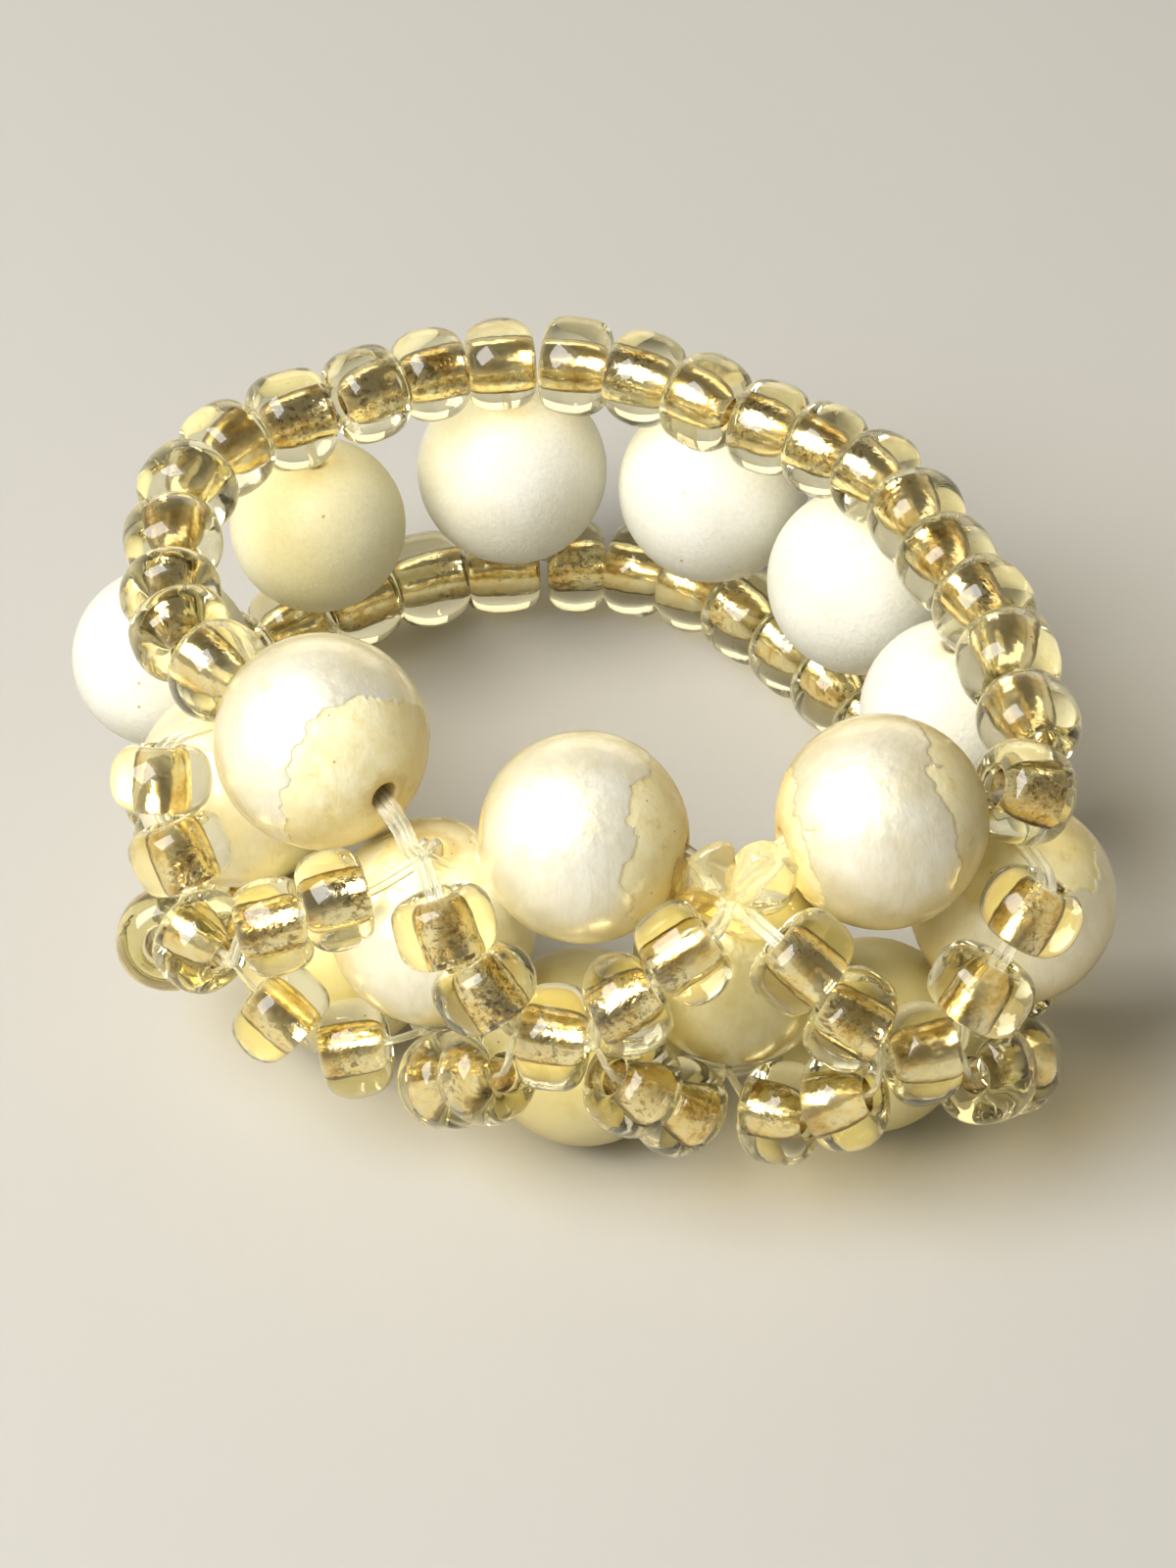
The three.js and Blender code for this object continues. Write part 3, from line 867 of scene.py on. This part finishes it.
def bumped(tree, height, strength, depth, normal=None):
    """A normal bent by a height, whose full swing is depth millimetres."""
    inputs = {"Height": height, "Strength": strength, "Distance": depth * MM}
    if normal is not None:
        inputs["Normal"] = normal
    return add_node(tree, "Bump", inputs).outputs["Normal"]


def facing(tree, low, high):
    """Zero where a surface faces the eye, up to one where it turns away."""
    turned = add_node(tree, "LayerWeight", {"Blend": 0.5}).outputs["Facing"]
    return span(tree, turned, low, high)


# ---------------------------------------------------------------- materials

OCHRE = (0.64, 0.46, 0.15)
GLASS_SPECK = (0.20, 0.12, 0.05)
LINING_WEAR = [(0.44, (1.0, 0.94, 0.72)), (0.54, (0.99, 0.82, 0.47)), (0.63, (0.76, 0.53, 0.19)),
               (0.74, (0.35, 0.21, 0.07))]
LINING_SPECK = (0.26, 0.165, 0.06)
# Painted shade for the lining where it turns away from the eye.
LINING_RIM_SHADE = (0.20, 0.13, 0.045)
PIT = (0.50, 0.36, 0.18)
BARE_MOTTLE = [(0.38, (0.95, 0.90, 0.61)), (0.60, (0.89, 0.79, 0.44)), (0.76, (0.62, 0.44, 0.14))]
# Painted shade for the bare ball where it turns away from the eye.
BARE_RIM_SHADE = (0.72, 0.55, 0.20)
BARE_SPECK = (0.36, 0.22, 0.08)
PLAIN_MOTTLE = [(0.3, (0.80, 0.755, 0.47)), (0.6, (0.73, 0.67, 0.36)), (0.8, (0.62, 0.50, 0.20))]
# Painted shade for the plain pearls where they turn away from the eye.
PLAIN_RIM_SHADE = (0.50, 0.40, 0.15)
# The share of a glass that stays clear along its rims.
RIM_CLEARNESS = 0.74


def ochre_mouth(tree, colour, strength):
    """Old glue and wear stain a pearl round the mouths of its bore."""
    radial = add_node(tree, "Attribute", attribute_name="from_bore").outputs["Fac"]
    ragged = total(tree, radial, span(tree, grain(tree, 2.0, detail=4.0), 0.2, 0.8, -0.4, 0.4))
    return blended(tree, span(tree, ragged, 0.6, 1.05, strength, 0.0), colour, OCHRE)


def glass_material(name, tint, rim_tint, shadow_tint, roughness, ior, clearness=1.0):
    """Tinted glass, deeper in colour along its rims, that lets lamps through to what lies behind."""
    material, tree = new_tree(name)
    normal = bumped(tree, grain(tree, 1.1, detail=2.0), strength=0.25, depth=0.10)
    colour = blended(tree, facing(tree, 0.3, 0.95), tint, rim_tint)
    colour = blended(tree, dots(tree, 1.6, radius=0.07, share=0.35), colour, GLASS_SPECK)
    clear_share = span(tree, facing(tree, 0.35, 0.9), 0.0, 1.0, clearness, RIM_CLEARNESS * clearness)
    glass = add_node(tree, "BsdfPrincipled", {
        "Base Color": colour, "Roughness": roughness, "IOR": ior, "Normal": normal,
        "Transmission Weight": clear_share})
    clear = add_node(tree, "BsdfTransparent", {"Color": opaque(shadow_tint)})
    shadow = add_node(tree, "LightPath").outputs["Is Shadow Ray"]
    mixed = add_node(tree, "MixShader", {0: shadow, 1: glass.outputs[0], 2: clear.outputs[0]})
    finish_material(tree, mixed.outputs[0])
    return material


def lining_material():
    """The worn silver lining seen through yellow glass: bright gold, brown wear, dark specks and painted
    shade at its rims.
    """
    material, tree = new_tree("seed_lining")
    wear = grain(tree, 0.9, detail=6.0, rough=0.7)
    metal = ramp(tree, wear, LINING_WEAR)
    worn = span(tree, grain(tree, 0.5, detail=2.0), 0.45, 0.61)
    specks = span(tree, grain(tree, 6.0, detail=4.0, rough=0.7), 0.50, 0.60)
    dark = product(tree, specks, worn)
    colour = blended(tree, span(tree, dark, 0.0, 1.0, 0.0, 0.75), metal, LINING_SPECK)
    # Painted shade: the lining darkens to dark brown where it turns away from the eye, with a ragged
    # edge from the wear noise.
    rim_shade = total(tree, facing(tree, 0.0, 1.0), span(tree, wear, 0.3, 0.7, -0.16, 0.16))
    colour = blended(tree, span(tree, rim_shade, 0.57, 0.70, 0.0, 0.8), colour, LINING_RIM_SHADE)
    normal = bumped(tree, grain(tree, 1.8, detail=2.0), strength=0.5, depth=0.08)
    normal = bumped(tree, grain(tree, 8.0, detail=2.0), product(tree, worn, 0.7), 0.03, normal)
    shader = add_node(tree, "BsdfPrincipled", {
        "Base Color": colour, "Metallic": 1.0, "Roughness": span(tree, wear, 0.35, 0.65, 0.08, 0.24),
        "Normal": normal})
    finish_material(tree, shader.outputs[0])
    return material


def matte_material(name, light, shade):
    """Bleached pearl: fine grain, faint mottling, a few tiny brown pits and painted shade at its rims.
    """
    material, tree = new_tree(name)
    mottle = grain(tree, 0.35, detail=4.0)
    base = blended(tree, span(tree, mottle, 0.35, 0.7), light, shade)
    # Painted shade: darker towards the rims, where the pearl turns away from the eye.
    base = blended(tree, facing(tree, 0.3, 1.0), base, scaled(shade, 0.86))
    pits = dots(tree, 1.3, radius=0.1, share=0.25)
    colour = blended(tree, pits, ochre_mouth(tree, base, 0.35), PIT)
    fine = grain(tree, 6.0, detail=3.0, rough=0.6)
    colour = blended(tree, span(tree, fine, 0.4, 0.65, 0.0, 0.22), colour, scaled(shade, 0.8))
    normal = bumped(tree, fine, strength=0.8, depth=0.035)
    normal = bumped(tree, pits, -0.6, 0.03, normal)
    shader = add_node(tree, "BsdfPrincipled", {
        "Base Color": colour, "Roughness": span(tree, fine, 0.3, 0.7, 0.36, 0.55),
        "Subsurface Weight": 0.2, "Subsurface Radius": (1.0, 0.85, 0.6), "Subsurface Scale": 0.5 * MM,
        "Normal": normal})
    finish_material(tree, shader.outputs[0])
    return material


def coat_colour(tree, light, deep_and_rim_shade):
    """Pearlescent lacquer, hazy in places, with painted shade that deepens it where it turns away."""
    haze = span(tree, grain(tree, 0.45, detail=4.0, rough=0.6), 0.42, 0.66)
    coat = blended(tree, haze, light, [(a + b) / 2 for a, b in zip(light, deep_and_rim_shade)])
    # Painted shade: the lacquer takes its deep tone where it turns away from the eye.
    return blended(tree, facing(tree, 0.16, 0.86), coat, deep_and_rim_shade)


def bare_colour(tree):
    """The pale yellow ball under a peeled coat, mottled, stained, specked and darkened at its rims by
    painted shade.
    """
    bare = ramp(tree, grain(tree, 1.3, detail=6.0, rough=0.65), BARE_MOTTLE)
    # Painted shade: darker and more golden towards the rims, where the ball turns away from the eye.
    bare = blended(tree, facing(tree, 0.15, 0.95), bare, BARE_RIM_SHADE)
    return blended(tree, dots(tree, 2.2, radius=0.09, share=0.4), ochre_mouth(tree, bare, 0.65),
                   BARE_SPECK)


def coated_material(name, light, deep_and_rim_shade):
    """Pearlescent coat over a pale yellow ball, gone where the piece's coat value is below zero."""
    material, tree = new_tree(name)
    field = add_node(tree, "Attribute", attribute_name="coat").outputs["Fac"]
    fringe = grain(tree, 7.0, detail=3.0)
    edge = total(tree, field, span(tree, fringe, 0.2, 0.8, -0.02, 0.02))
    kept = span(tree, edge, -0.004, 0.006)
    colour = blended(tree, kept, bare_colour(tree), coat_colour(tree, light, deep_and_rim_shade))
    silk = fibres(tree, 3.0, detail=5.0)
    satin = product(tree, span(tree, silk, 0.44, 0.74), kept)
    colour = blended(tree, span(tree, satin, 0.0, 1.0, 0.0, 0.24), colour, scaled(deep_and_rim_shade, 0.9))
    normal = bumped(tree, fibres(tree, 2.2, detail=2.0), strength=0.8, depth=0.045)
    normal = bumped(tree, kept, 0.6, COAT_THICKNESS, normal)
    shader = add_node(tree, "BsdfPrincipled", {
        "Base Color": colour,
        "Metallic": product(tree, kept, 0.42),
        "Roughness": span(tree, silk, 0.38, 0.62, 0.36, 0.54),
        "Coat Weight": span(tree, kept, 0.0, 1.0, 0.4, 0.9), "Coat Roughness": 0.17, "Coat IOR": 1.5,
        "Normal": normal})
    finish_material(tree, shader.outputs[0])
    return material


def plain_material():
    """Bare moulded ball, pale yellow cream, with painted shade at its rims."""
    material, tree = new_tree("pearl_plain")
    colour = ramp(tree, grain(tree, 0.6, detail=4.0), PLAIN_MOTTLE)
    # Painted shade: darker towards the rims, where the ball turns away from the eye.
    colour = blended(tree, facing(tree, 0.2, 1.0), colour, PLAIN_RIM_SHADE)
    fine = grain(tree, 8.0, detail=2.0)
    shader = add_node(tree, "BsdfPrincipled", {
        "Base Color": colour, "Roughness": span(tree, fine, 0.3, 0.7, 0.28, 0.4),
        "Subsurface Weight": 0.3, "Subsurface Radius": (1.0, 0.8, 0.45), "Subsurface Scale": 0.8 * MM,
        "Normal": bumped(tree, fine, strength=0.2, depth=0.015)})
    finish_material(tree, shader.outputs[0])
    return material


def floor_material():
    """A plain warm grey surface with a faint tooth."""
    material, tree = new_tree("floor")
    colour = blended(tree, grain(tree, 0.02, detail=3.0), (0.46, 0.445, 0.415), (0.50, 0.485, 0.46))
    normal = bumped(tree, grain(tree, 2.5, detail=2.0), strength=0.1, depth=0.02)
    shader = add_node(tree, "BsdfPrincipled", {"Base Color": colour, "Roughness": 0.6, "Normal": normal})
    finish_material(tree, shader.outputs[0])
    return material


materials = {
    "glass": glass_material("seed_glass", (0.97, 0.93, 0.68), (0.90, 0.80, 0.44), (0.97, 0.93, 0.80),
                            roughness=0.02, ior=1.51),
    "lining": lining_material(),
    "matte": matte_material("pearl_matte", (0.84, 0.84, 0.79), (0.74, 0.73, 0.63)),
    "cream": matte_material("pearl_cream", (0.80, 0.78, 0.59), (0.72, 0.68, 0.45)),
    "coated": coated_material("pearl_coated", (0.99, 0.97, 0.85), (0.79, 0.70, 0.40)),
    "golden": coated_material("pearl_golden", (0.98, 0.95, 0.80), (0.74, 0.62, 0.31)),
    "aged": coated_material("pearl_aged", (0.63, 0.57, 0.32), (0.44, 0.35, 0.10)),
    "plain": plain_material(),
    "thread": glass_material("clear_thread", (0.95, 0.94, 0.85), (0.86, 0.84, 0.68), (0.93, 0.92, 0.84),
                             roughness=0.12, ior=1.47, clearness=0.85),
    "glue": glass_material("dried_glue", (1.0, 0.97, 0.74), (0.84, 0.64, 0.20), (0.98, 0.94, 0.78),
                           roughness=0.02, ior=1.5, clearness=0.88),
    "amber": glass_material("amber_glue", (0.96, 0.82, 0.36), (0.70, 0.46, 0.08), (0.94, 0.82, 0.45),
                            roughness=0.08, ior=1.5, clearness=0.85),
}

# ---------------------------------------------------------------- stage

VIEW_AZIMUTH = math.radians(13.0)
VIEW_ELEVATION = math.radians(44.0)
CAMERA_PLACE = (28.7, -126.5, 121.65)
LENS_MM = 132.4
SENSOR_MM = 36.0
# Nothing nearer to the camera than this is seen, in metres.
NEAREST_SEEN = 0.01

# Softboxes: the way to each in the camera's own axes, distance and size in metres, and watts.
LAMPS = [
    {"name": "key", "way": (-0.58, 0.36, 0.74), "distance": 0.30, "size": (0.22, 0.22), "watts": 1.4,
     "colour": (1.0, 0.99, 0.96)},
    {"name": "fill", "way": (-0.45, 0.35, 0.8), "distance": 0.32, "size": (0.26, 0.26), "watts": 0.25,
     "colour": (1.0, 0.97, 0.90)},
    {"name": "back", "way": (0.1, 0.75, -0.6), "distance": 0.34, "size": (0.34, 0.2), "watts": 0.26,
     "colour": (1.0, 0.93, 0.78)},
]
# The lamps are aimed at the ring's middle, in metres.
LAMPS_AIM = Vector((0, 0, 0.007))
ROOM_COLOUR = (1.0, 0.90, 0.70)
HORIZON_STRENGTH = 0.46
ZENITH_STRENGTH = 0.15

# Half the floor's width, in metres.
FLOOR_HALF = 1.2
# Smooth beads reach this many millimetres below the facets that the ring stands on.
FLOOR_DROP = 0.12


def add_camera():
    """The camera looks at the ring from its front right, above the surface it lies on."""
    turn = (LEANING.to_4x4() @ Matrix.Rotation(VIEW_AZIMUTH, 4, "Z")
            @ Matrix.Rotation(math.pi / 2 - VIEW_ELEVATION, 4, "X"))
    camera = bpy.data.objects.new("camera", bpy.data.cameras.new("camera"))
    camera.matrix_world = Matrix.Translation(to_row(CAMERA_PLACE)) @ turn
    camera.data.lens = LENS_MM
    camera.data.sensor_width = SENSOR_MM
    camera.data.sensor_fit = "AUTO"
    camera.data.clip_start = NEAREST_SEEN
    bpy.context.scene.collection.objects.link(camera)
    bpy.context.scene.camera = camera
    return camera


def add_softbox(camera, row):
    """An area lamp aimed at the ring."""
    towards = (camera.matrix_world.to_3x3() @ Vector(row["way"])).normalized()
    lamp = bpy.data.lights.new(row["name"], "AREA")
    lamp.shape = "RECTANGLE"
    lamp.size, lamp.size_y = row["size"]
    lamp.energy = row["watts"]
    lamp.color = row["colour"]
    made = bpy.data.objects.new(row["name"], lamp)
    made.location = LAMPS_AIM + towards * row["distance"]
    made.rotation_euler = towards.to_track_quat("Z", "Y").to_euler()
    bpy.context.scene.collection.objects.link(made)


def add_world():
    """A dim warm room, brighter towards its horizon, so that glass has something to bend."""
    world = bpy.data.worlds.new("studio")
    world.use_nodes = True
    tree = world.node_tree
    way = add_node(tree, "TexCoord").outputs["Generated"]
    height = add_node(tree, "SeparateXYZ", {0: way}).outputs["Z"]
    strength = span(tree, height, 0.05, 0.6, HORIZON_STRENGTH, ZENITH_STRENGTH)
    background = tree.nodes["Background"]
    background.inputs["Color"].default_value = opaque(ROOM_COLOUR)
    tree.links.new(strength, background.inputs["Strength"])
    bpy.context.scene.world = world


def add_floor():
    mesh = bpy.data.meshes.new("floor")
    half, z = FLOOR_HALF, -FLOOR_DROP * MM
    mesh.from_pydata([(-half, -half, z), (half, -half, z), (half, half, z), (-half, half, z)],
                     [], [[0, 1, 2, 3]])
    mesh.materials.append(floor_material())
    floor = bpy.data.objects.new("floor", mesh)
    bpy.context.scene.collection.objects.link(floor)


def add_stage():
    add_floor()
    add_world()
    camera = add_camera()
    for row in LAMPS:
        add_softbox(camera, row)
    bpy.context.scene.view_settings.view_transform = "Standard"


add_seed_beads()
add_pearls()
add_posts()
add_plaque_threads()
add_net_threads()
add_glue()
add_stage()
